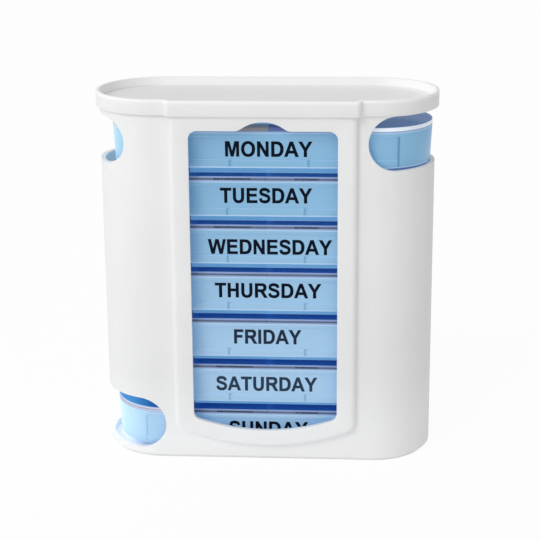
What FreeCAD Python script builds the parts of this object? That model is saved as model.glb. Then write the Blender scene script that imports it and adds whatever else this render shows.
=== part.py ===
import FreeCAD, Part
import math
import os

from FreeCAD import Vector

# Weekly pill drawer organizer: a white tower that holds seven stacked day trays.
# Millimetres. Origin in the middle of the resting face, front towards -Y, +Z up.

# Tower, outside
body_half_length = 60.0
body_half_depth = 21.4
wall = 1.6
floor_thickness = 1.2
base_edge_bevel = 1.5
head_room = 2.8

# Stack
tray_height = 13.0
lid_thickness = 1.6
standoff = 2.9
running_gap = 0.6
end_gap = 1.2
rest_shift = 0.6
top_tray_shift = 1.8
day_names = ("monday", "tuesday", "wednesday", "thursday", "friday", "saturday", "sunday")

# Raised front panel and its window
panel_half_width = 32.75
panel_rise = 2.2
panel_edge_radius = 2.0
panel_corner_radius = 4.5
window_half_width = 25.85
window_border_above = 6.2
window_arc_low = 12.4
window_arc_radius = 74.0
window_corner_radius = 3.0
panel_border_below = 6.65
arch_height = 3.2
arch_crown_radius = 12.9
arch_foot_radius = 4.0

# Openings at the ends
opening_radius = 9.7
opening_centre_x = 46.0
lip_clearance = 0.5
finger_hole_radius = 8.55
finger_hole_x = 57.5
finger_hole_rise = 8.5

# Top cover
cover_overhang = 1.2
cover_clearance = 0.25
cover_rise = 4.5
cover_lap = 1.0
cover_rim = 1.3
cover_plate = 1.2
locating_rib_half_length = 24.0
locating_rib_drop = 2.2

# Day tray
tray_wall = 1.2
compartment_pitch = 27.4
label_half_length = 45.1
label_depth = 0.3
label_low = 2.9
label_high = 11.2

# Lids
lid_gap = 0.4
rim_inset = 5.4
rim_side_inset = 0.1
rim_wall = 1.0
seat_rib_thickness = 1.2

# Derived sizes
pitch = tray_height + lid_thickness + standoff
stack_base = floor_thickness + standoff
inner_half_length = body_half_length - wall
inner_half_depth = body_half_depth - wall
tray_half_length = inner_half_length - end_gap
tray_half_depth = inner_half_depth - running_gap
rim_half_depth = tray_half_depth - rim_inset
rim_half_length = compartment_pitch - lid_gap / 2 - rim_side_inset
arc_centre_z = window_arc_low + window_arc_radius
top_tray_base = stack_base + (len(day_names) - 1) * pitch
body_top = top_tray_base + pitch + head_room
window_top = body_top - window_border_above
finger_hole_z = top_tray_base + finger_hole_rise
cover_top = body_top + cover_rise
cover_skirt_low = body_top - cover_lap
beyond = 2 * body_half_length


def roundedBar(half_length, half_depth, z_low, height):
    # Stadium outline with half-round ends, pulled up into a solid.
    straight = half_length - half_depth
    a = Vector(-straight, -half_depth, z_low)
    b = Vector(straight, -half_depth, z_low)
    c = Vector(straight, half_depth, z_low)
    d = Vector(-straight, half_depth, z_low)
    right_end = Part.Arc(b, Vector(half_length, 0, z_low), c).toShape()
    left_end = Part.Arc(d, Vector(-half_length, 0, z_low), a).toShape()
    outline = Part.Wire([Part.makeLine(a, b), right_end, Part.makeLine(c, d), left_end])
    return Part.Face(outline).extrude(Vector(0, 0, height))


def block(x_low, x_high, y_low, y_high, z_low, z_high):
    corner = Vector(x_low, y_low, z_low)
    return Part.makeBox(x_high - x_low, y_high - y_low, z_high - z_low, corner)


def frontShape(half_width, z_high, arc_radius, corner_radius, y_front, y_back):
    # Flat-sided shape with a bowed lower edge, seen from the front, pulled back along Y.
    z_corner = arc_centre_z - math.sqrt(arc_radius ** 2 - half_width ** 2)
    left_low = Vector(-half_width, y_front, z_corner)
    right_low = Vector(half_width, y_front, z_corner)
    left_high = Vector(-half_width, y_front, z_high)
    right_high = Vector(half_width, y_front, z_high)
    lowest = Vector(0, y_front, arc_centre_z - arc_radius)
    bow = Part.Arc(left_low, lowest, right_low).toShape()
    sides = [Part.makeLine(right_low, right_high), Part.makeLine(right_high, left_high)]
    outline = Part.Wire([bow] + sides + [Part.makeLine(left_high, left_low)])
    solid = Part.Face(outline).extrude(Vector(0, y_back - y_front, 0))
    depth = abs(y_back - y_front)
    lower = [e for e in solid.Edges if alongY(e, depth) and e.CenterOfMass.z < z_corner + 1]
    return solid.makeFillet(corner_radius, lower)


def alongY(edge, depth):
    box = edge.BoundBox
    return box.XLength < 1e-6 and box.ZLength < 1e-6 and abs(box.YLength - depth) < 1e-6


def raisedPanel(grow, z_low_cut, z_high):
    # The swollen front panel, grown by a given amount for the cover.
    y_front = -(body_half_depth + panel_rise + grow)
    radius = window_arc_radius + panel_border_below + grow
    half_width = panel_half_width + grow
    corner = panel_corner_radius + grow
    solid = frontShape(half_width, z_high, radius, corner, y_front, -inner_half_depth)
    front_edges = []
    for edge in solid.Edges:
        box = edge.BoundBox
        at_front = abs(box.YMin - y_front) < 1e-6 and abs(box.YMax - y_front) < 1e-6
        if at_front and box.ZMin < z_high - 1e-3:
            front_edges.append(edge)
    solid = solid.makeFillet(panel_edge_radius, front_edges)
    if z_low_cut > 0:
        solid = solid.cut(block(-beyond, beyond, -beyond, beyond, -1, z_low_cut))
    return solid


def endOpening(side, lip, reach):
    # Slot with a round inner end that runs out through the end of the tower.
    z_mid = lip + opening_radius
    x_mid = side * opening_centre_x
    start = Vector(x_mid, -reach, z_mid)
    round_end = Part.makeCylinder(opening_radius, 2 * reach, start, Vector(0, 1, 0))
    x_far = side * (body_half_length + 5)
    slot = block(min(x_mid, x_far), max(x_mid, x_far), -reach, reach, lip, lip + 2 * opening_radius)
    return round_end.fuse(slot).removeSplitter()


def windowCutter():
    y_front = -(body_half_depth + panel_rise + 3)
    y_back = -(inner_half_depth - 2)
    radius = window_arc_radius
    cutter = frontShape(window_half_width, window_top, radius, window_corner_radius, y_front, y_back)
    top_corners = []
    for edge in cutter.Edges:
        if alongY(edge, y_back - y_front) and edge.CenterOfMass.z > window_top - 1:
            top_corners.append(edge)
    cutter = cutter.makeFillet(window_corner_radius, top_corners)
    return cutter.fuse(thumbArch(y_front, y_back)).removeSplitter()


def thumbArch(y_front, y_back):
    # Bell-shaped notch above the window: a round crown that flares into the edge at both feet.
    crown_radius = arch_crown_radius
    foot_radius = arch_foot_radius
    both = crown_radius + foot_radius
    angle = math.acos((both - arch_height) / both)
    half_width = both * math.sin(angle)
    z_peak = window_top + arch_height

    def crown(turn):
        x = crown_radius * math.sin(turn)
        return Vector(x, y_front, z_peak - crown_radius + crown_radius * math.cos(turn))

    def flare(side, turn):
        x = side * (half_width - foot_radius * math.sin(turn))
        return Vector(x, y_front, window_top + foot_radius - foot_radius * math.cos(turn))

    top = Part.Arc(crown(-angle), crown(0), crown(angle)).toShape()
    right = Part.Arc(flare(1, angle), flare(1, angle / 2), flare(1, 0)).toShape()
    left = Part.Arc(flare(-1, 0), flare(-1, angle / 2), flare(-1, angle)).toShape()
    below = window_corner_radius / 2
    low_right = Vector(half_width, y_front, window_top - below)
    low_left = Vector(-half_width, y_front, window_top - below)
    down = Part.makeLine(flare(1, 0), low_right)
    across = Part.makeLine(low_right, low_left)
    up = Part.makeLine(low_left, flare(-1, 0))
    outline = Part.Wire([left, top, right, down, across, up])
    return Part.Face(outline).extrude(Vector(0, y_back - y_front, 0))


def makeHousing():
    outer = roundedBar(body_half_length, body_half_depth, 0, body_top)
    bottom_edges = [e for e in outer.Edges if e.BoundBox.ZMax < 1e-6]
    outer = outer.makeChamfer(base_edge_bevel, bottom_edges)
    shell = outer.fuse(raisedPanel(0, 0, body_top))
    inside_height = body_top - floor_thickness + 1
    shell = shell.cut(roundedBar(inner_half_length, inner_half_depth, floor_thickness, inside_height))
    # The panel is hollow behind, so its wall stays as thick as the rest.
    pocket_radius = window_arc_radius + panel_border_below - wall
    pocket_front = -(body_half_depth + panel_rise - wall)
    pocket_width = panel_half_width - wall
    pocket_corner = panel_corner_radius - wall
    pocket = frontShape(pocket_width, body_top + 1, pocket_radius, pocket_corner, pocket_front, 0)
    shell = shell.cut(pocket)
    # Ribs on the floor that the lowest tray stands on.
    half = seat_rib_thickness / 2
    for step in (-1, 0, 1):
        y = step * (rim_half_depth - half)
        shell = shell.fuse(block(-rim_half_length, rim_half_length, y - half, y + half,
                                 floor_thickness / 2, stack_base))
    reach = body_half_depth + 8
    shell = shell.cut(windowCutter())
    shell = shell.cut(endOpening(1, top_tray_base - lip_clearance, reach))
    shell = shell.cut(endOpening(-1, stack_base - lip_clearance, reach))
    hole_start = Vector(-finger_hole_x, -reach, finger_hole_z)
    shell = shell.cut(Part.makeCylinder(finger_hole_radius, 2 * reach, hole_start, Vector(0, 1, 0)))
    return shell.removeSplitter()


def makeCover():
    height = cover_top - cover_skirt_low
    full_length = body_half_length + cover_overhang
    full_depth = body_half_depth + cover_overhang
    solid = roundedBar(full_length, full_depth, cover_skirt_low, height)
    solid = solid.fuse(raisedPanel(cover_overhang, cover_skirt_low, cover_top)).removeSplitter()
    # Tray recess on top, a constant rim inside the outline.
    shrink = cover_overhang - cover_rim
    recess_floor = body_top + cover_plate
    recess_height = cover_top - recess_floor + 1
    recess = roundedBar(body_half_length + shrink, body_half_depth + shrink, recess_floor, recess_height)
    recess = recess.fuse(raisedPanel(shrink, recess_floor, cover_top + 1))
    solid = solid.cut(recess)
    # Seat underneath for the top edge of the tower wall.
    gap = cover_clearance
    seat_height = body_top - cover_skirt_low + 1
    seat = roundedBar(body_half_length + gap, body_half_depth + gap, cover_skirt_low - 1, seat_height)
    seat = seat.fuse(raisedPanel(gap, cover_skirt_low - 1, body_top))
    solid = solid.cut(seat)
    # Two ribs reach down inside the tower and keep the cover in place.
    rib_low = body_top - locating_rib_drop
    half = locating_rib_half_length
    back = inner_half_depth - cover_clearance
    front = -(inner_half_depth + panel_rise - cover_clearance)
    solid = solid.fuse(block(-half, half, back - cover_plate, back, rib_low, body_top + 0.5))
    solid = solid.fuse(block(-half, half, front, front + cover_plate, rib_low, body_top + 0.5))
    return solid.removeSplitter()


def makeTray():
    case = roundedBar(tray_half_length, tray_half_depth, 0, tray_height)
    case = case.cut(labelField())
    # One hollow, then three dividers put back.
    length = tray_half_length - tray_wall
    depth = tray_half_depth - tray_wall
    case = case.cut(roundedBar(length, depth, tray_wall, tray_height))
    half = tray_wall / 2
    for step in (-1, 0, 1):
        x = step * compartment_pitch
        case = case.fuse(block(x - half, x + half, -depth - half, depth + half, half, tray_height))
    return case.removeSplitter()


def labelField():
    # Shallow field that wraps the front of the tray.
    skin = roundedBar(tray_half_length + 5, tray_half_depth + 5, label_low, label_high - label_low)
    core = roundedBar(tray_half_length - label_depth, tray_half_depth - label_depth,
                      label_low - 1, label_high - label_low + 2)
    front = block(-label_half_length, label_half_length, -beyond, 0, label_low, label_high)
    return skin.cut(core).common(front)


def makeLid(place):
    # Lids are numbered from the left; the two middle ones carry a stand-off rim.
    inner_edge = lid_gap / 2
    if place in (0, 3):
        x_low = compartment_pitch + inner_edge
        x_high = beyond
    else:
        x_low = inner_edge
        x_high = compartment_pitch - inner_edge
    plate = roundedBar(tray_half_length, tray_half_depth, tray_height, lid_thickness)
    plate = plate.common(block(x_low, x_high, -beyond, beyond, 0, beyond))
    if place in (1, 2):
        plate = plate.fuse(standRim(x_low + rim_side_inset, rim_half_length))
    plate = plate.removeSplitter()
    if place in (0, 1):
        plate = plate.mirror(Vector(0, 0, 0), Vector(1, 0, 0))
    return plate


def standRim(x_low, x_high):
    # Raised rim that the next tray stands on.
    low = tray_height + lid_thickness / 2
    top = tray_height + lid_thickness + standoff
    depth = rim_half_depth
    rim = block(x_low, x_high, -depth, depth, low, top)
    inside = depth - rim_wall
    return rim.cut(block(x_low + rim_wall, x_high - rim_wall, -inside, inside, low - 1, top + 1))


def save(shape, name):
    solids = shape.Solids
    if len(solids) != 1 or not shape.isValid():
        raise RuntimeError("%s has %d solids" % (name, len(solids)))
    solids[0].exportStep("parts/%s.step" % name)
    box = shape.BoundBox
    print("%-26s z %.2f to %.2f volume %.0f" % (name, box.ZMin, box.ZMax, solids[0].Volume))


os.makedirs("parts", exist_ok=True)
save(makeHousing(), "housing")
save(makeCover(), "top_cover")
tray = makeTray()
lids = [makeLid(place) for place in range(4)]
for level, day in enumerate(reversed(day_names)):
    shift = top_tray_shift if day == day_names[0] else rest_shift
    place = Vector(shift, 0, stack_base + level * pitch)
    save(tray.translated(place), "%s_tray" % day)
    for index, lid in enumerate(lids):
        save(lid.translated(place), "%s_lid_%d" % (day, index + 1))
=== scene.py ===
import bpy
import bmesh
import math
from mathutils import Matrix, Vector


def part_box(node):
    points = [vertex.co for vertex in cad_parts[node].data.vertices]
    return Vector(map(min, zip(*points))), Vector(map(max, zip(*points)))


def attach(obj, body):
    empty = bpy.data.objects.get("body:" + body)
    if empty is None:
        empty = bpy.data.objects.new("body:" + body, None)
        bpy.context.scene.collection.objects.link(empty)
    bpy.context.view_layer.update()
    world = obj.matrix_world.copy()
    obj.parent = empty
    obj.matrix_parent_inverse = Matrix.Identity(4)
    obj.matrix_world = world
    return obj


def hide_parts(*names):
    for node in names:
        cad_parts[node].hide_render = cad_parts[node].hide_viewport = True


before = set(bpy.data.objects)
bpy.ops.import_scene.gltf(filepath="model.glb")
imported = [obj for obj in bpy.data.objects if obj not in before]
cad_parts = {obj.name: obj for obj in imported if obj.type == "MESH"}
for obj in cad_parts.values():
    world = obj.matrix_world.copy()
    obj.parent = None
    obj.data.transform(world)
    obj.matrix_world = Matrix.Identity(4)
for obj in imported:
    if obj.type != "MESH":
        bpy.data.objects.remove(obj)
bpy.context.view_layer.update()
mm = 0.001
weld = 0.001 * mm  # points nearer to each other than this are one
black, white = (0, 0, 0, 1), (1, 1, 1, 1)
print("frame loaded")


def topOf(node):
    return round(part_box(node)[1][2], 5)  # to a hundredth of a millimetre


def newMaterial(name):
    mat = bpy.data.materials.new(name)
    mat.use_nodes = True
    tree = mat.node_tree
    shader = tree.nodes["Principled BSDF"]
    return mat, tree, shader


def newObject(name, data):
    made = bpy.data.objects.new(name, data)
    bpy.context.scene.collection.objects.link(made)
    return made


def link(tree, a, b):
    tree.links.new(a, b)


def ramp(tree, source, stops):
    node = tree.nodes.new("ShaderNodeValToRGB")
    node.color_ramp.elements[0].position = stops[0][0]
    node.color_ramp.elements[0].color = stops[0][1]
    node.color_ramp.elements[1].position = stops[-1][0]
    node.color_ramp.elements[1].color = stops[-1][1]
    for place, colour in stops[1:-1]:
        node.color_ramp.elements.new(place).color = colour
    link(tree, source, node.inputs["Fac"])
    return node.outputs["Color"]


def noise(tree, scale):
    coord = tree.nodes.new("ShaderNodeTexCoord")
    tex = tree.nodes.new("ShaderNodeTexNoise")
    tex.inputs["Scale"].default_value = scale
    tex.inputs["Detail"].default_value = 2
    link(tree, coord.outputs["Object"], tex.inputs["Vector"])
    return tex.outputs["Fac"]


cloudSpread = (0.3, 0.7)
grainDepth = 0.0001


def clouded(tree, scale, low, high):
    # soft clouds of two near tones
    return ramp(tree, noise(tree, scale), list(zip(cloudSpread, (low, high))))


def mouldGrain(tree, shader, grain):
    # the faint texture of the mould, as a scale and a strength
    scale, strength = grain
    bump = tree.nodes.new("ShaderNodeBump")
    bump.inputs["Strength"].default_value = strength
    bump.inputs["Distance"].default_value = grainDepth
    link(tree, noise(tree, scale), bump.inputs["Height"])
    link(tree, bump.outputs["Normal"], shader.inputs["Normal"])


def maths(tree, operation, first, second=0.0, clamp=False):
    node = tree.nodes.new("ShaderNodeMath")
    node.operation = operation
    node.use_clamp = clamp
    for place, value in enumerate((first, second)):
        if isinstance(value, (int, float)):
            node.inputs[place].default_value = value
        else:
            link(tree, value, node.inputs[place])
    return node.outputs[0]


def mixColour(tree, factor, first, second):
    node = tree.nodes.new("ShaderNodeMix")
    node.data_type = "RGBA"
    link(tree, factor, node.inputs["Factor"])
    for name, value in (("A", first), ("B", second)):
        if isinstance(value, tuple):
            node.inputs[name].default_value = value
        else:
            link(tree, value, node.inputs[name])
    return node.outputs["Result"]


def mixShader(tree, factor, first, second):
    node = tree.nodes.new("ShaderNodeMixShader")
    link(tree, factor, node.inputs["Fac"])
    link(tree, first, node.inputs[1])
    link(tree, second, node.inputs[2])
    return node.outputs[0]


def axis(tree, kind, letter):
    coord = tree.nodes.new("ShaderNodeTexCoord")
    split = tree.nodes.new("ShaderNodeSeparateXYZ")
    link(tree, coord.outputs[kind], split.inputs["Vector"])
    return split.outputs[letter]


def between(tree, value, low, high):
    # 0 at the low end, 1 at the high end
    node = tree.nodes.new("ShaderNodeMapRange")
    link(tree, value, node.inputs["Value"])
    node.inputs["From Min"].default_value = low
    node.inputs["From Max"].default_value = high
    return node.outputs["Result"]


# in the three looks below, places along the tower, heights and depths are in metres
whiteLook = {
    "low": (0.80, 0.80, 0.80, 1), "high": (0.835, 0.835, 0.835, 1), "cloudScale": 28,
    # painted light: the white turns lighter towards the foot of the tower, between the two foot heights
    "foot": (0.90, 0.90, 0.90, 1), "footHeights": (0.032, 0.008),
    # a painted highlight on the cover's rim, with depths down from its top, and painted light on its
    # walls that face the sunk middle
    "rim": (0.94, 0.94, 0.94, 1), "rimDepths": (0.0014, 0.0003),
    "rimInside": (0.95, 0.95, 0.95, 1), "rimInsideDepths": (0.0031, 0.0028), "inward": (0.0, -0.004),
    # painted glow standing in for light that soaks through the walls, most of it, violet, into the
    # floor at the left end
    "lift": (0.95, 0.95, 0.96, 1), "liftStrength": 0.05, "well": (0.24, 0.22, 0.34, 1),
    "wellLevel": (0.6, 0.95), "wellAcross": (-0.046, -0.052), "wellHeights": (0.005, 0.003),
    "roughness": 0.48, "ior": 1.47, "grain": (900, 0.12),
}


def facingInward(tree):
    # 1 on walls that face the upright through the middle of the tower, which get painted light
    flat = tree.nodes.new("ShaderNodeVectorMath")
    flat.operation = "MULTIPLY"
    flat.inputs[1].default_value = (1, 1, 0)
    facing = tree.nodes.new("ShaderNodeVectorMath")
    facing.operation = "DOT_PRODUCT"
    coord = tree.nodes.new("ShaderNodeTexCoord")
    link(tree, coord.outputs["Object"], flat.inputs[0])
    link(tree, flat.outputs["Vector"], facing.inputs[0])
    link(tree, coord.outputs["Normal"], facing.inputs[1])
    return between(tree, facing.outputs["Value"], *whiteLook["inward"])


def whitePlastic():
    mat, tree, shader = newMaterial("white_plastic")
    height = axis(tree, "Object", "Z")
    coverTop = topOf("top_cover")
    body = clouded(tree, whiteLook["cloudScale"], whiteLook["low"], whiteLook["high"])
    # painted light towards the foot
    foot = between(tree, height, *whiteLook["footHeights"])
    body = mixColour(tree, foot, body, whiteLook["foot"])
    # painted light on the cover's inward walls, and a painted highlight on its rim top
    inside = between(tree, height, *[coverTop - depth for depth in whiteLook["rimInsideDepths"]])
    inside = maths(tree, "MULTIPLY", facingInward(tree), inside)
    body = mixColour(tree, inside, body, whiteLook["rimInside"])
    rimTop = between(tree, height, *[coverTop - depth for depth in whiteLook["rimDepths"]])
    link(tree, mixColour(tree, rimTop, body, whiteLook["rim"]), shader.inputs["Base Color"])
    shader.inputs["Roughness"].default_value = whiteLook["roughness"]
    shader.inputs["IOR"].default_value = whiteLook["ior"]
    # painted glow over the white, violet on the floor at the left end
    level = between(tree, axis(tree, "Normal", "Z"), *whiteLook["wellLevel"])
    leftEnd = between(tree, axis(tree, "Object", "X"), *whiteLook["wellAcross"])
    well = maths(tree, "MULTIPLY", level, leftEnd)
    well = maths(tree, "MULTIPLY", well, between(tree, height, *whiteLook["wellHeights"]))
    lift = tuple(part * whiteLook["liftStrength"] for part in whiteLook["lift"][:3]) + (1,)
    link(tree, mixColour(tree, well, lift, whiteLook["well"]), shader.inputs["Emission Color"])
    shader.inputs["Emission Strength"].default_value = 1.0
    mouldGrain(tree, shader, whiteLook["grain"])
    return mat


brokenEdge = (0.15, 0.25, 0.93, 0.98)  # how far a broken edge leans, from upright to level


def edgeBand(tree):
    # 1 on the broken edges, which face neither level nor upright; painted highlights go there
    flat = tree.nodes.new("ShaderNodeNewGeometry")
    split = tree.nodes.new("ShaderNodeSeparateXYZ")
    link(tree, flat.outputs["True Normal"], split.inputs["Vector"])
    size = maths(tree, "ABSOLUTE", split.outputs["Z"])
    return ramp(tree, size, list(zip(brokenEdge, (black, white, white, black))))


blueLook = {
    # painted shade and light: the upper trays darker and the lower ones lighter between the two
    # heights, and the upper faces darker towards the left
    "upper": (0.265, 0.475, 0.62, 1), "lower": (0.44, 0.63, 0.78, 1), "heights": (0.10, 0.035),
    "leftShade": 0.92, "across": (-0.03, 0.02), "lowTone": 0.035, "cloudScale": 40, "cloud": 0.06,
    # painted light towards the left end: darker finishes come up to this tone there, and the trays
    # lighten a little
    "nearLeft": (-0.03, -0.044), "nearLeftTone": 1.05, "trimSaturation": 1.12,
    # painted highlight and painted glow on the broken edges
    "edge": (0.50, 0.72, 0.92, 1), "edgeGlow": (0.24, 0.42, 0.70, 1),
    # painted glow over the whole tray, paler and stronger at the left end, where light comes in
    "glow": (0.004, 0.11, 0.33, 1), "endGlow": (0.55, 0.85, 1.0, 1), "leftEnd": (-0.042, -0.058),
    "glowStrength": 0.42,
    "roughness": 0.24, "ior": 1.47, "grain": (600, 0.08),
    # painted highlights as pale lines along the foot and just under the top edge of every tray, and
    # painted shade on the top edge, as shares of the pitch
    "footLine": 0.283, "lipLine": (0.962, 0.980), "lineBlur": 0.006, "topBlur": 0.004,
    "lip": (0.50, 0.68, 0.82, 1), "topEdge": (0.34, 0.44, 0.60, 1),
}


def trayLines(tree, height):
    # 1 on the painted highlight lines, and 1 on the top edge's painted shade
    trayTop = topOf("sunday_tray")
    pitch = round(topOf("saturday_tray") - trayTop, 5)
    stack = maths(tree, "ADD", height, pitch - trayTop)
    rise = maths(tree, "FRACT", maths(tree, "DIVIDE", stack, pitch))
    foot, (lipLow, lipHigh) = blueLook["footLine"], blueLook["lipLine"]
    blur, edge = blueLook["lineBlur"], lipHigh + blueLook["topBlur"]
    lines = ramp(tree, rise, [(foot, white), (foot + blur, black), (lipLow, black),
                              (lipLow + blur, white), (lipHigh, white), (edge, black)])
    return lines, ramp(tree, rise, [(lipHigh, black), (edge, white)])


def bluePlastic(name, strength=1.0, edges=True):
    mat, tree, shader = newMaterial(name)
    across, height = axis(tree, "Object", "X"), axis(tree, "Object", "Z")
    # painted shade: darker high up and towards the left, lighter low down
    low = between(tree, height, *blueLook["heights"])
    cloud = maths(tree, "MULTIPLY", noise(tree, blueLook["cloudScale"]), blueLook["cloud"])
    slope = maths(tree, "MULTIPLY", maths(tree, "SUBTRACT", 1.0, low), 1 - blueLook["leftShade"])
    slope = maths(tree, "MULTIPLY", between(tree, across, *blueLook["across"]), slope)
    tone = maths(tree, "ADD", slope, cloud)
    tone = maths(tree, "ADD", tone, maths(tree, "MULTIPLY", low, blueLook["lowTone"]))
    tone = maths(tree, "ADD", tone, blueLook["leftShade"] - blueLook["cloud"] / 2)
    # painted light towards the left end
    nearLeft = between(tree, across, *blueLook["nearLeft"])
    gain = maths(tree, "MULTIPLY", nearLeft, max(0.0, blueLook["nearLeftTone"] - strength))
    tone = maths(tree, "MULTIPLY", tone, maths(tree, "ADD", strength, gain))
    shade = tree.nodes.new("ShaderNodeHueSaturation")
    link(tree, tone, shade.inputs["Value"])
    shade.inputs["Saturation"].default_value = 1.0 if edges else blueLook["trimSaturation"]
    link(tree, mixColour(tree, low, blueLook["upper"], blueLook["lower"]), shade.inputs["Color"])
    # painted highlight on the broken edges, left out on the trims
    band = maths(tree, "MULTIPLY", edgeBand(tree), 1.0 if edges else 0.0)
    # painted highlight lines, then painted shade on the top edge
    lines, topEdge = trayLines(tree, height)
    body = mixColour(tree, lines, shade.outputs["Color"], blueLook["lip"])
    body = mixColour(tree, band, body, blueLook["edge"])
    link(tree, mixColour(tree, topEdge, body, blueLook["topEdge"]), shader.inputs["Base Color"])
    shader.inputs["Roughness"].default_value = blueLook["roughness"]
    shader.inputs["IOR"].default_value = blueLook["ior"]
    # painted glow, paler at the left end and on the broken edges
    leftEnd = between(tree, across, *blueLook["leftEnd"])
    glow = mixColour(tree, leftEnd, blueLook["glow"], blueLook["endGlow"])
    glow = mixColour(tree, band, glow, blueLook["edgeGlow"])
    link(tree, mixColour(tree, topEdge, glow, blueLook["glow"]), shader.inputs["Emission Color"])
    shader.inputs["Emission Strength"].default_value = blueLook["glowStrength"]
    mouldGrain(tree, shader, blueLook["grain"])
    return mat


clearLook = {
    # the lids' tint, their own colour, and a painted highlight for their broken edges
    "tint": (0.33, 0.62, 0.95, 1), "body": (0.05, 0.235, 0.56, 1), "edge": (0.62, 0.72, 0.90, 1),
    # painted glow at the left and the right end of the lids, where light falls in
    "leftGlow": (0.04, 0.18, 0.25, 1), "leftEnd": (-0.036, -0.05),
    "rightGlow": (0.11, 0.12, 0.09, 1), "rightEnd": (0.03, 0.042),
    # how much the plastic's own surface hides of what lies behind it; the extra shares at the left end
    # and on the broken edges are painted light
    "bodyShare": 0.17, "sheenShare": 0.6, "sheenIor": 1.35, "leftShare": 0.35, "edgeShare": 0.6,
    "cloudScale": 60, "cloud": 0.06,
    "roughness": 0.12, "ior": 1.5, "grain": (300, 0.05),
    # the soft gloss of the two lids in the thumb arch, tinted grey and violet as a painted reflection
    # of the cover and the trays, and how low it is seen
    "grey": (0.62, 0.60, 0.59, 1), "violet": (0.27, 0.34, 0.60, 1),
    "slant": (0.66, 0.76), "slantBlend": 0.5, "slantRoughness": 0.85,
}


def lowGloss(tree, surface, colour):
    # at a low angle a clear lid mirrors the white walls and the blue trays round it; the gloss is
    # tinted with a painted reflection colour
    slant = tree.nodes.new("ShaderNodeLayerWeight")
    slant.inputs["Blend"].default_value = clearLook["slantBlend"]
    gloss = tree.nodes.new("ShaderNodeBsdfGlossy")
    gloss.inputs["Color"].default_value = colour
    gloss.inputs["Roughness"].default_value = clearLook["slantRoughness"]
    seenLow = between(tree, slant.outputs["Facing"], *clearLook["slant"])
    return mixShader(tree, seenLow, surface, gloss.outputs[0])


def clearPlastic(name, lowColour=None):
    mat, tree, shader = newMaterial(name)
    across = axis(tree, "Object", "X")
    # painted highlight on the broken edges
    band = edgeBand(tree)
    link(tree, mixColour(tree, band, clearLook["body"], clearLook["edge"]), shader.inputs["Base Color"])
    shader.inputs["Roughness"].default_value = clearLook["roughness"]
    shader.inputs["IOR"].default_value = clearLook["ior"]
    mouldGrain(tree, shader, clearLook["grain"])
    # painted glow at the two ends, and more of the lid's own colour at the left end
    leftEnd = between(tree, across, *clearLook["leftEnd"])
    rightEnd = between(tree, across, *clearLook["rightEnd"])
    glow = mixColour(tree, leftEnd, black, clearLook["leftGlow"])
    link(tree, mixColour(tree, rightEnd, glow, clearLook["rightGlow"]), shader.inputs["Emission Color"])
    shader.inputs["Emission Strength"].default_value = 1.0
    through = tree.nodes.new("ShaderNodeBsdfTransparent")
    through.inputs["Color"].default_value = clearLook["tint"]
    sheen = tree.nodes.new("ShaderNodeFresnel")
    sheen.inputs["IOR"].default_value = clearLook["sheenIor"]
    share = maths(tree, "MULTIPLY", sheen.outputs[0], clearLook["sheenShare"])
    share = maths(tree, "ADD", share, clearLook["bodyShare"])
    cloud = maths(tree, "MULTIPLY", noise(tree, clearLook["cloudScale"]), clearLook["cloud"])
    share = maths(tree, "ADD", share, cloud)
    share = maths(tree, "ADD", share, maths(tree, "MULTIPLY", leftEnd, clearLook["leftShare"]))
    edge = maths(tree, "MULTIPLY", band, clearLook["edgeShare"])
    share = maths(tree, "ADD", share, edge, clamp=True)
    surface = mixShader(tree, share, through.outputs[0], shader.outputs[0])
    if lowColour:
        surface = lowGloss(tree, surface, lowColour)
    link(tree, surface, tree.nodes["Material Output"].inputs["Surface"])
    return mat


plainLook = {"cloudScale": 120, "shares": (0.93, 1.05)}


def plainPlastic(name, colour, roughness, glow, shine=0.5):
    mat, tree, shader = newMaterial(name)
    low, high = [tuple(part * share for part in colour[:3]) + (1,) for share in plainLook["shares"]]
    link(tree, clouded(tree, plainLook["cloudScale"], low, high), shader.inputs["Base Color"])
    shader.inputs["Roughness"].default_value = roughness
    shader.inputs["Specular IOR Level"].default_value = shine
    shader.inputs["Emission Color"].default_value = colour
    shader.inputs["Emission Strength"].default_value = glow
    return mat


lidEdgeLook = {
    # colour, roughness and glow of each stripe on a lid's edge, which together paint highlight, shade
    # and reflection onto the clear edge, and of the rim on its top, whose glow is painted light
    "lid_edge_upper": ((0.24, 0.34, 0.60, 1), 0.25, 0.1),
    "lid_edge_middle": ((0.10, 0.135, 0.24, 1), 0.3, 0.0),
    "lid_edge_lower": ((0.28, 0.37, 0.56, 1), 0.25, 0.1),
    "lid_rim_blue": ((0.26, 0.60, 0.88, 1), 0.3, 0.25),
    "lid_edge_bright": ((0.85, 0.92, 1.0, 1), 0.2, 0.12),
    "lid_edge_pale": ((0.40, 0.52, 0.66, 1), 0.25, 0.0),
    "lid_edge_lilac": ((0.62, 0.62, 0.80, 1), 0.25, 0.1),
    "lid_edge_mauve": ((0.48, 0.47, 0.60, 1), 0.3, 0.0),
    "lid_edge_grey_reflection": ((0.27, 0.27, 0.28, 1), 0.3, 0.0),
    "lid_edge_violet_reflection": ((0.10, 0.16, 0.42, 1), 0.3, 0.0),
}
# how strong the trays' blue is on the ribs (painted shade), on their bright sides (painted highlight)
# and on the label field's end lines (painted shade)
trimLook = {"blue_shade": 0.76, "blue_highlight": 1.10, "blue_line_shade": 0.62}
inkLook = {
    "roughness": 0.65, "shine": 0.08,
    # the blacks of the print: a plain one, paler ones for Friday's and Saturday's names, and one for
    # the tiny marks
    "colours": {
        "black_ink": (0.0015, 0.005, 0.015, 1), "black_ink_paler": (0.018, 0.032, 0.062, 1),
        "black_ink_small": (0.030, 0.036, 0.060, 1), "black_ink_palest": (0.026, 0.050, 0.088, 1),
    },
}

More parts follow.
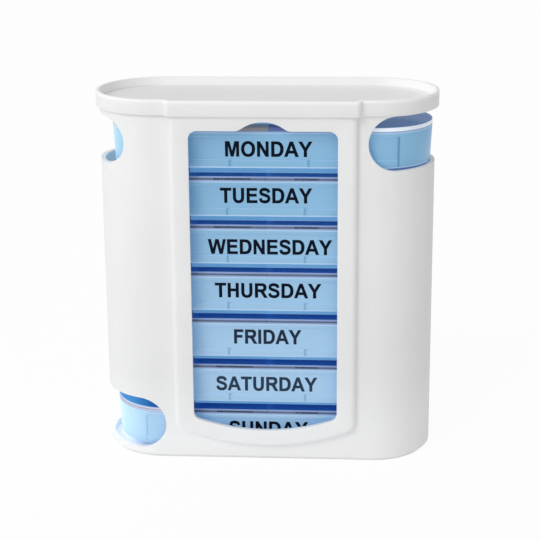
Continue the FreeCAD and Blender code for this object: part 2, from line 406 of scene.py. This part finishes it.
finishes = {
    "white_plastic": whitePlastic(),
    "blue_plastic": bluePlastic("blue_plastic"),
    "clear_plastic": clearPlastic("clear_plastic"),
    # the two lids in the thumb arch, with a painted reflection tint in their gloss
    "clear_plastic_grey_reflection": clearPlastic("clear_plastic_grey_reflection", clearLook["grey"]),
    "clear_plastic_violet_reflection": clearPlastic("clear_plastic_violet_reflection", clearLook["violet"]),
}
for name, (colour, roughness, glow) in lidEdgeLook.items():
    finishes[name] = plainPlastic(name, colour, roughness, glow)
for name, strength in trimLook.items():
    finishes[name] = bluePlastic(name, strength, False)
for name, colour in inkLook["colours"].items():
    finishes[name] = plainPlastic(name, colour, inkLook["roughness"], 0.0, inkLook["shine"])
print("materials made")


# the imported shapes, with their edges broken as a mould leaves them
edgeBreak = {
    "housing": 0.45, "top_cover": 0.4, "tray": 0.3, "lid": 0.22,
    "merge": 0.002, "flatAngle": 0.4, "sharpAngle": 28, "segments": 3,
    "levelNormal": 0.99,
}

lidEdge = {
    # where the stripes of a lid's edge end, down from its top face
    "upper": 0.62, "middle": 1.34, "rimAbove": 0.1, "uprightNormal": 0.3,
    # the hairline between the two middle lids
    "seam": 0.03, "seamReach": 0.35,
    # which painted highlight, shade and reflection each stripe of the four lids carries, from the top
    # down
    "stripes": {
        1: ("lid_edge_lilac", "lid_edge_mauve", "lid_edge_bright"),
        2: ("lid_edge_upper", "lid_edge_middle", "lid_edge_lower"),
        3: ("lid_edge_upper", "lid_edge_middle", "lid_edge_lower"),
        4: ("lid_edge_bright", "lid_edge_bright", "lid_edge_pale"),
        # painted reflection: the two in the thumb arch take up the grey of the cover and the blue of
        # the trays
        "monday2": ("lid_edge_grey_reflection", "lid_edge_grey_reflection", "lid_edge_upper"),
        "monday3": ("lid_edge_violet_reflection", "lid_edge_violet_reflection", "lid_edge_upper"),
    },
    # painted reflection colours on the tops of the two lids in the thumb arch
    "tops": {"monday2": "clear_plastic_grey_reflection", "monday3": "clear_plastic_violet_reflection"},
    # the two lids that carry a rim, and its slot after the lid's top and the three stripes
    "rimmed": (2, 3), "rimSlot": 4,
}
trayDraft = {"inward": 0.6, "skin": 0.8}


# cuts a lid's edge into three stripes for its painted highlight, shade and reflection, and gives the
# rim its own slot
def stripeEdge(bm, top):
    for depth in (lidEdge["upper"], lidEdge["middle"]):
        bmesh.ops.bisect_plane(bm, geom=bm.verts[:] + bm.edges[:] + bm.faces[:], dist=weld,
                               plane_co=(0, 0, top - depth * mm), plane_no=(0, 0, 1))
    for face in bm.faces:
        middle = face.calc_center_median()
        down = (top - middle.z) / mm
        if down < -lidEdge["rimAbove"]:
            face.material_index = lidEdge["rimSlot"]
        elif abs(face.normal.z) < lidEdge["uprightNormal"]:
            face.material_index = 1 + (down > lidEdge["upper"]) + (down > lidEdge["middle"])


def closeSeam(verts, middle):
    # the two middle lids meet with a hairline between them
    for vert in verts:
        away = vert.co.x - middle
        if abs(away) < lidEdge["seamReach"] * mm:
            vert.co.x = middle + math.copysign(lidEdge["seam"] * mm, away)


def drawIn(verts, tray):
    # the outside of a tray draws in a little towards the bottom, so that it leaves the mould
    low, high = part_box(tray)
    half = (high[1] - low[1]) / 2
    straight = (high[0] - low[0]) / 2 - half
    for vert in verts:
        x = vert.co.x - (low[0] + high[0]) / 2
        out = Vector((x - max(-straight, min(straight, x)), vert.co.y - (low[1] + high[1]) / 2))
        if out.length > half - trayDraft["skin"] * mm:
            share = max(0.0, min(1.0, (high[2] - vert.co.z) / (high[2] - low[2])))
            out *= trayDraft["inward"] * mm * share / out.length
            vert.co.x -= out.x
            vert.co.y -= out.y


def mouldedPiece(node, name, finish, edge, body, day="", place=0):
    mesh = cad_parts[node].data.copy()
    mesh.name = name
    mesh.materials.clear()
    bm = bmesh.new()
    bm.from_mesh(mesh)
    bmesh.ops.remove_doubles(bm, verts=bm.verts, dist=edgeBreak["merge"] * mm)
    if place not in lidEdge["rimmed"]:  # a face round a rim stays in triangles
        bmesh.ops.dissolve_limit(bm, angle_limit=math.radians(edgeBreak["flatAngle"]),
                                 verts=bm.verts, edges=bm.edges)
    bmesh.ops.recalc_face_normals(bm, faces=bm.faces)
    slots = [lidEdge["tops"].get(day + str(place), finish)]
    for face in bm.faces:  # the level faces of a lid stay flat, so that they shade evenly
        face.material_index = 0
        face.smooth = not (place and abs(face.normal.z) > edgeBreak["levelNormal"])
    if place:
        slots += lidEdge["stripes"].get(day + str(place), lidEdge["stripes"][place])
        slots.append("lid_rim_blue")
        stripeEdge(bm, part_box(day + "_lid_1")[1][2])
        low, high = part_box(day + "_tray")
        closeSeam(bm.verts, (low[0] + high[0]) / 2)
    elif day:
        drawIn(bm.verts, day + "_tray")
    bm.to_mesh(mesh)
    bm.free()
    piece = newObject(name, mesh)
    for slot in slots:
        mesh.materials.append(finishes[slot])
    bevel = piece.modifiers.new("edge_break", "BEVEL")
    bevel.width = edge * mm
    bevel.segments = edgeBreak["segments"]
    bevel.limit_method = "ANGLE"
    bevel.angle_limit = math.radians(edgeBreak["sharpAngle"])
    bevel.harden_normals = not place
    bevel.use_clamp_overlap = True
    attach(piece, body)
    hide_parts(node)


days = ("monday", "tuesday", "wednesday", "thursday", "friday", "saturday", "sunday")
bodyOf = {"monday": "monday_drawer", "sunday": "sunday_drawer"}

mouldedPiece("housing", "tower_shell", "white_plastic", edgeBreak["housing"], "tower")
mouldedPiece("top_cover", "cover_moulding", "white_plastic", edgeBreak["top_cover"], "top_cover")
for day in days:
    body = bodyOf.get(day, "tower")
    mouldedPiece(day + "_tray", day + "_tray_moulding", "blue_plastic", edgeBreak["tray"], body, day)
    for place in range(1, 5):
        mouldedPiece("%s_lid_%d" % (day, place), "%s_lid_moulding_%d" % (day, place),
                     "clear_plastic", edgeBreak["lid"], body, day, place)
print("moulded pieces dressed")


# Bold capitals, drawn once with the height of a capital as one unit. Each letter has its
# width, the room it takes on the line, and closed outlines (an inner one is a hole).
stem = 0.205
bar = 0.17


def arcPoints(centreX, centreY, radiusX, radiusY, start, end, steps, fullness):
    # a fullness over 2 pushes the arc out towards its corners
    points = []
    for step in range(steps + 1):
        turn = math.radians(start + (end - start) * step / steps)
        c, s = math.cos(turn), math.sin(turn)
        points.append((centreX + radiusX * math.copysign(abs(c) ** (2 / fullness), c),
                       centreY + radiusY * math.copysign(abs(s) ** (2 / fullness), s)))
    return points


def ribbon(middle, width):
    # a smooth line through the given points, widened to a closed outline
    fine = []
    for place in range(len(middle) - 1):
        a = middle[max(place - 1, 0)]
        b, c = middle[place], middle[place + 1]
        d = middle[min(place + 2, len(middle) - 1)]
        for step in range(6):
            t = step / 6
            fine.append(tuple(
                0.5 * (2 * b[k] + (c[k] - a[k]) * t + (2 * a[k] - 5 * b[k] + 4 * c[k] - d[k]) * t * t
                       + (3 * b[k] - a[k] - 3 * c[k] + d[k]) * t ** 3) for k in (0, 1)))
    fine.append(middle[-1])
    left, right = [], []
    for place, point in enumerate(fine):
        before, after = fine[max(place - 1, 0)], fine[min(place + 1, len(fine) - 1)]
        along = Vector((after[0] - before[0], after[1] - before[1])).normalized()
        left.append((point[0] - along.y * width / 2, point[1] + along.x * width / 2))
        right.append((point[0] + along.y * width / 2, point[1] - along.x * width / 2))
    return left + right[::-1]


def letterOutlines(letter):
    if letter == "A":
        return 1.0, [[(0, 0), (0.392, 1), (0.608, 1), (1, 0), (0.785, 0), (0.7, 0.227),
                      (0.297, 0.227), (0.214, 0)], [(0.357, 0.395), (0.64, 0.395), (0.498, 0.766)]]
    if letter == "D":
        outer = [(0, 0), (0, 1)] + arcPoints(0.4, 0.5, 0.45, 0.5, 90, -90, 18, 2.2)
        inner = [(stem, bar), (stem, 1 - bar)]
        inner += arcPoints(0.36, 0.5, 0.275, 0.5 - bar, 90, -90, 18, 2.3)
        return 0.85, [outer, inner]
    if letter == "E":
        return 0.76, [[(0, 0), (0, 1), (0.742, 1), (0.742, 1 - bar), (stem, 1 - bar), (stem, 0.607),
                       (0.705, 0.607), (0.705, 0.437), (stem, 0.437), (stem, bar), (0.76, bar),
                       (0.76, 0)]]
    if letter == "F":
        return 0.685, [[(0, 0), (0, 1), (0.685, 1), (0.685, 1 - bar), (stem, 1 - bar), (stem, 0.595),
                        (0.618, 0.595), (0.618, 0.425), (stem, 0.425), (stem, 0)]]
    if letter == "G":
        outer = arcPoints(0.49, 0.5, 0.49, 0.517, 40, 340, 30, 2.15)
        inner = arcPoints(0.49, 0.5, 0.28, 0.345, 335, 42, 30, 2.15)
        return 0.95, [outer + [(0.945, 0.53), (0.53, 0.53), (0.53, 0.37), (0.74, 0.37)] + inner]
    if letter == "V":
        return 0.92, [[(0.352, 0), (0, 1), (0.22, 1), (0.465, 0.26), (0.71, 1), (0.92, 1), (0.57, 0)]]
    if letter == "H":
        return 0.79, [[(0, 0), (0, 1), (stem, 1), (stem, 0.607), (0.585, 0.607), (0.585, 1), (0.79, 1),
                       (0.79, 0), (0.585, 0), (0.585, 0.437), (stem, 0.437), (stem, 0)]]
    if letter == "I":
        return stem, [[(0, 0), (0, 1), (stem, 1), (stem, 0)]]
    if letter == "M":
        return 0.968, [[(0, 0), (0, 1), (0.302, 1), (0.485, 0.318), (0.666, 1), (0.968, 1), (0.968, 0),
                        (0.781, 0), (0.781, 0.787), (0.582, 0), (0.387, 0), (0.188, 0.787), (0.188, 0)]]
    if letter == "N":
        return 0.795, [[(0, 0), (0, 1), (0.196, 1), (0.606, 0.332), (0.606, 1), (0.795, 1), (0.795, 0),
                        (0.592, 0), (0.189, 0.652), (0.189, 0)]]
    if letter == "O":
        return 0.972, [arcPoints(0.486, 0.5, 0.486, 0.517, 0, 360, 36, 2.15)[:-1],
                       arcPoints(0.486, 0.5, 0.276, 0.345, 0, 360, 36, 2.15)[:-1]]
    if letter == "R":
        bowl = arcPoints(0.52, 0.715, 0.31, 0.285, 90, -70, 16, 2.4)
        outer = [(0, 0), (0, 1)] + bowl + [(0.72, 0.27), (0.905, 0), (0.66, 0), (0.49, 0.265),
                                           (0.40, 0.385), (stem, 0.415), (stem, 0)]
        inner = [(stem, 0.575), (stem, 1 - bar)]
        inner += arcPoints(0.47, 0.703, 0.148, 0.128, 90, -90, 12, 2.4)
        return 0.905, [outer, inner]
    if letter == "S":
        spine = [(0.715, 0.715), (0.65, 0.86), (0.42, 0.925), (0.2, 0.875), (0.135, 0.735),
                 (0.21, 0.615), (0.43, 0.535), (0.65, 0.445), (0.725, 0.295), (0.645, 0.135),
                 (0.42, 0.075), (0.18, 0.135), (0.1, 0.3)]
        return 0.82, [ribbon(spine, 0.187)]
    if letter == "T":
        return 0.8, [[(0.298, 0), (0.298, 1 - bar), (0, 1 - bar), (0, 1), (0.8, 1), (0.8, 1 - bar),
                      (0.502, 1 - bar), (0.502, 0)]]
    if letter == "U":
        outer = [(0.795, 1)] + arcPoints(0.3975, 0.38, 0.3975, 0.397, 0, -180, 20, 2.3) + [(0, 1)]
        inner = [(stem, 1)] + arcPoints(0.3975, 0.38, 0.1925, 0.225, 180, 360, 20, 2.3)
        return 0.795, [outer + inner + [(0.59, 1)]]
    if letter == "W":
        return 1.295, [[(0.238, 0), (0, 1), (0.209, 1), (0.36, 0.315), (0.542, 1), (0.773, 1),
                        (0.948, 0.303), (1.098, 1), (1.295, 1), (1.056, 0), (0.836, 0),
                        (0.648, 0.745), (0.46, 0)]]
    return 0.94, [[(0.368, 0), (0.368, 0.42), (0, 1), (0.237, 1), (0.474, 0.6), (0.708, 1), (0.94, 1),
                   (0.572, 0.42), (0.572, 0)]]


# the room before and after each letter
sideRoom = {
    "A": (0, 0.01), "D": (0.1, 0.06), "E": (0.1, 0.07), "F": (0.1, 0.06), "G": (0.06, 0.06),
    "H": (0.1, 0.1), "I": (0.1, 0.1), "M": (0.1, 0.1), "N": (0.1, 0.1), "O": (0.06, 0.055),
    "R": (0.1, 0.0), "S": (0.05, 0.06), "T": (0.03, 0.03), "U": (0.1, 0.1), "V": (0, 0),
    "W": (0.01, 0.01), "Y": (0.0, 0.0),
}
lettering = {
    # the label field's depth in the tray's front and the size of the print, in millimetres
    "fieldDepth": 0.3, "capHeight": 5.4, "thickness": 0.05,
    # how much every stroke is fattened, as a share of the height of a capital
    "bold": 0.014,
    # from the left of the first letter to the right of the last
    "spans": {
        "monday": (-13.4, 16.8), "tuesday": (-15.4, 16.8), "wednesday": (-20.0, 23.8),
        "thursday": (-17.8, 20.0), "friday": (-11.2, 12.9), "saturday": (-18.0, 18.6),
        "sunday": (-13.5, 15.3),
    },
    # the foot of the letters over the foot of the tray
    "baselines": {
        "monday": 4.1, "tuesday": 4.9, "wednesday": 3.6, "thursday": 4.9, "friday": 4.9,
        "saturday": 4.25, "sunday": 4.35,
    },
    # Friday's and Saturday's names are printed in a paler black
    "inks": {"friday": "black_ink_paler", "saturday": "black_ink_palest"},
}


def wordOutlines(word):
    # every outline of a word on one line, and how far the word reaches
    shapes = []
    pen = -sideRoom[word[0]][0]
    for letter in word:
        pen += sideRoom[letter][0]
        width, outlines = letterOutlines(letter)
        shapes += [[(pen + x, y) for x, y in outline] for outline in outlines]
        pen += width + sideRoom[letter][1]
    return shapes, pen - sideRoom[word[-1]][1]


def filledOutlines(name, shapes):
    curve = bpy.data.curves.new(name, "CURVE")
    curve.dimensions = "2D"
    curve.fill_mode = "BOTH"
    curve.extrude = 0.5  # half of one unit to each side
    curve.bevel_depth = lettering["bold"]
    curve.bevel_resolution = 0
    for shape in shapes:
        line = curve.splines.new("POLY")
        line.points.add(len(shape) - 1)
        for point, (x, y) in zip(line.points, shape):
            point.co = (x, y, 0, 1)
        line.use_cyclic_u = True
    flat = newObject(name + "_curve", curve)
    bpy.context.view_layer.update()
    mesh = bpy.data.meshes.new_from_object(flat)
    bpy.data.objects.remove(flat)
    mesh.name = name
    return mesh


def printedWord(word, name, span, baseline, height, faceY, thickness, ink, body, tray=""):
    shapes, reach = wordOutlines(word)
    mesh = filledOutlines(name, shapes)
    size = Matrix.Diagonal(((span[1] - span[0]) * mm / reach, height * mm, thickness * mm, 1))
    stand = Matrix.Rotation(math.radians(90), 4, "X")
    mesh.transform(Matrix.Translation((span[0] * mm, faceY, baseline)) @ stand @ size)
    bm = bmesh.new()
    bm.from_mesh(mesh)
    bmesh.ops.remove_doubles(bm, verts=bm.verts, dist=weld)
    bmesh.ops.recalc_face_normals(bm, faces=bm.faces)
    if tray:
        drawIn(bm.verts, tray)
    bm.to_mesh(mesh)
    bm.free()
    piece = newObject(name, mesh)
    mesh.materials.clear()
    mesh.materials.append(finishes[ink])
    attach(piece, body)


for day in days:
    low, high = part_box(day + "_tray")
    faceY = low[1] + lettering["fieldDepth"] * mm
    baseline = low[2] + lettering["baselines"][day] * mm
    ink = lettering["inks"].get(day, "black_ink")
    printedWord(day.upper(), day + "_name", lettering["spans"][day], baseline,
                lettering["capHeight"], faceY, lettering["thickness"], ink,
                bodyOf.get(day, "tower"), day + "_tray")
print("day names printed")


frontRib = {
    # small upright ribs low on each tray front, at the middle of each compartment, darker as painted
    # shade
    "pitch": 27.4, "width": 0.9, "proud": 0.06, "sunk": 0.3, "low": 0.3, "high": 2.9, "soften": 0.05,
    # their bright right sides, thin strips of painted highlight
    "lightWidth": 0.6, "lightProud": 0.04, "lightSoften": 0.03,
    # an upright line where the label field ends on the rounded ends, a strip of painted shade along the
    # step
    "endWidth": 0.7, "endProud": 0.05, "endSunk": 0.4, "endOut": 45.1, "endHigh": 11.2,
    "endSoften": 0.05,
}


def plainBlock(bm, low, high):
    size = [(b - a) * mm for a, b in zip(low, high)]
    middle = [(a + b) / 2 * mm for a, b in zip(low, high)]
    shape = Matrix.Translation(middle) @ Matrix.Diagonal((*size, 1))
    return bmesh.ops.create_cube(bm, size=1.0, matrix=shape)["verts"]


def softBlocks(name, blocks, soften, finish, body, tray, turns=None):
    bm = bmesh.new()
    for place, (low, high) in enumerate(blocks):
        verts = plainBlock(bm, low, high)
        if turns:
            angle, centre = turns[place]
            bmesh.ops.rotate(bm, verts=verts, cent=centre, matrix=Matrix.Rotation(angle, 3, "Z"))
    bmesh.ops.recalc_face_normals(bm, faces=bm.faces)
    bmesh.ops.bevel(bm, geom=bm.edges[:], offset=soften * mm, segments=2, profile=0.5,
                    affect="EDGES", material=-1)
    for face in bm.faces:
        face.smooth = True
    drawIn(bm.verts, tray)
    mesh = bpy.data.meshes.new(name)
    bm.to_mesh(mesh)
    bm.free()
    mesh.materials.append(finishes[finish])
    piece = newObject(name, mesh)
    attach(piece, body)


def trayFace(tray):
    # the middle of a tray's front, the front itself, its foot and half its straight run, in millimetres
    low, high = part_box(tray)
    middle = (low[0] + high[0]) / 2 / mm
    front, base = low[1] / mm, low[2] / mm
    straight = (high[0] - low[0]) / 2 / mm + front
    return middle, front, base, straight


def frontRibs(day, body, tray):
    middle, front, base = trayFace(tray)[:3]
    foot, top, back = base + frontRib["low"], base + frontRib["high"], front + frontRib["sunk"]
    # painted shade on the ribs, with strips of painted highlight beside them
    dark, light = [], []
    for step in (-0.5, 0.5):
        left = middle + step * frontRib["pitch"] - frontRib["width"] / 2
        right = middle + step * frontRib["pitch"] + frontRib["width"] / 2
        dark.append(((left, front - frontRib["proud"], foot), (right, back, top)))
        light.append(((right, front - frontRib["lightProud"], foot),
                      (right + frontRib["lightWidth"], back, top)))
    softBlocks(day + "_front_ribs", dark, frontRib["soften"], "blue_shade", body, tray)
    softBlocks(day + "_front_rib_highlights", light, frontRib["lightSoften"], "blue_highlight",
               body, tray)


def labelEnds(day, body, tray):
    # made at the front, then turned round the axis of the rounded end
    middle, front, base, straight = trayFace(tray)
    half = frontRib["endWidth"] / 2
    lean = math.asin((frontRib["endOut"] - straight) / -front)
    ends, turns = [], []
    for side in (-1, 1):
        x = middle + side * straight
        ends.append(((x - half, front - frontRib["endProud"], base + frontRib["low"]),
                     (x + half, front + frontRib["endSunk"], base + frontRib["endHigh"])))
        turns.append((side * lean, (x * mm, 0, 0)))
    softBlocks(day + "_label_ends", ends, frontRib["endSoften"], "blue_line_shade", body,
               tray, turns)


for day in days:
    frontRibs(day, bodyOf.get(day, "tower"), day + "_tray")
    labelEnds(day, bodyOf.get(day, "tower"), day + "_tray")
print("front ribs added")


printMark = {
    # tiny generic words for the time of day, printed on the front edge of the lids
    "height": 0.74, "down": 1.32, "thickness": 0.04,
    "plain": ("monday", "thursday", "friday"),  # left without print
    "words": {2: ("MORNING", -17.6, -4.6), 3: ("EVENING", 10.9, 19.2)},
}

for day in days:
    if day in printMark["plain"]:
        continue
    body = bodyOf.get(day, "tower")
    for place, (word, left, right) in printMark["words"].items():
        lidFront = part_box("%s_lid_%d" % (day, place))[0][1]
        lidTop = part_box(day + "_lid_1")[1][2]
        printedWord(word, "%s_lid_mark_%d" % (day, place), (left, right),
                    lidTop - printMark["down"] * mm, printMark["height"], lidFront,
                    printMark["thickness"], "black_ink_small", body)
print("lid marks printed")


studio = {
    # the light from all round, and how much of it leans to the left
    "world": 0.66, "worldSlope": -0.26,
    "keyPower": 21.0, "keyPlace": (-1.4, -1.8, 1.8), "keyAim": (0, 0, 0.07), "keySize": 1.2,
    # half the floor's side, its paint, and how much of it shows as plain white over the shadow
    "floorHalf": 4.0, "floorColour": (0.99, 0.99, 0.99, 1), "floorRoughness": 0.9, "floorWhite": 0.93,
}


def makeFloor():
    bm = bmesh.new()
    bmesh.ops.create_grid(bm, x_segments=1, y_segments=1, size=studio["floorHalf"])
    mesh = bpy.data.meshes.new("floor")
    bm.to_mesh(mesh)
    bm.free()
    floor = newObject("floor", mesh)
    mat, tree, shader = newMaterial("floor_white")
    shader.inputs["Base Color"].default_value = studio["floorColour"]
    shader.inputs["Roughness"].default_value = studio["floorRoughness"]
    shader.inputs["Specular IOR Level"].default_value = 0.0
    mesh.materials.append(mat)
    glow = tree.nodes.new("ShaderNodeEmission")
    glow.inputs["Strength"].default_value = 1.0
    path = tree.nodes.new("ShaderNodeLightPath")
    seen = maths(tree, "MAXIMUM", path.outputs["Is Camera Ray"], path.outputs["Is Transmission Ray"])
    share = maths(tree, "MULTIPLY", seen, studio["floorWhite"])
    surface = mixShader(tree, share, shader.outputs["BSDF"], glow.outputs["Emission"])
    link(tree, surface, tree.nodes["Material Output"].inputs["Surface"])


def makeWorld():
    world = bpy.data.worlds.new("studio")
    bpy.context.scene.world = world
    world.use_nodes = True
    tree = world.node_tree
    back = tree.nodes["Background"]
    back.inputs["Color"].default_value = white
    # a little more light from the left than from the right
    slope = maths(tree, "MULTIPLY", axis(tree, "Generated", "X"), studio["worldSlope"])
    link(tree, maths(tree, "ADD", slope, studio["world"]), back.inputs["Strength"])
    shown = tree.nodes.new("ShaderNodeBackground")
    shown.inputs["Color"].default_value = white
    shown.inputs["Strength"].default_value = 1.0
    path = tree.nodes.new("ShaderNodeLightPath")
    surface = mixShader(tree, path.outputs["Is Camera Ray"], back.outputs["Background"],
                        shown.outputs["Background"])
    link(tree, surface, tree.nodes["World Output"].inputs["Surface"])


def makeKeyLamp():
    lamp = bpy.data.lights.new("key_lamp", "AREA")
    lamp.shape = "SQUARE"
    lamp.size = studio["keySize"]
    lamp.energy = studio["keyPower"]
    holder = newObject("key_lamp", lamp)
    holder.location = studio["keyPlace"]
    aim = Vector(studio["keyAim"]) - Vector(studio["keyPlace"])
    holder.rotation_euler = aim.to_track_quat("-Z", "Y").to_euler()


cameraSet = {
    "target": (0, 0, 0.090902), "azimuth": 0.065, "elevation": 0.266, "distance": 0.53177,
    "roll": -0.008, "sensor": 36, "lens": 97.48, "shiftX": 0.00447, "shiftY": -0.1213,
    "clipStart": 0.01,
}


def makeCamera():
    az, el = cameraSet["azimuth"], cameraSet["elevation"]
    out = Vector((math.cos(el) * math.sin(az), -math.cos(el) * math.cos(az), math.sin(el)))
    right = Vector((math.cos(az), math.sin(az), 0))
    up = out.cross(right)
    c, s = math.cos(cameraSet["roll"]), math.sin(cameraSet["roll"])
    turnedRight = c * right + s * up
    turnedUp = -s * right + c * up
    data = bpy.data.cameras.new("camera")
    data.sensor_width = cameraSet["sensor"]
    data.lens = cameraSet["lens"]
    data.shift_x = cameraSet["shiftX"]
    data.shift_y = cameraSet["shiftY"]
    data.clip_start = cameraSet["clipStart"]
    camera = newObject("camera", data)
    turn = Matrix((turnedRight, turnedUp, out)).transposed().to_4x4()
    place = Vector(cameraSet["target"]) + cameraSet["distance"] * out
    camera.matrix_world = Matrix.Translation(place) @ turn
    bpy.context.scene.camera = camera


makeFloor()
makeWorld()
makeKeyLamp()
makeCamera()
bpy.context.scene.view_settings.view_transform = "Standard"
print("studio ready")
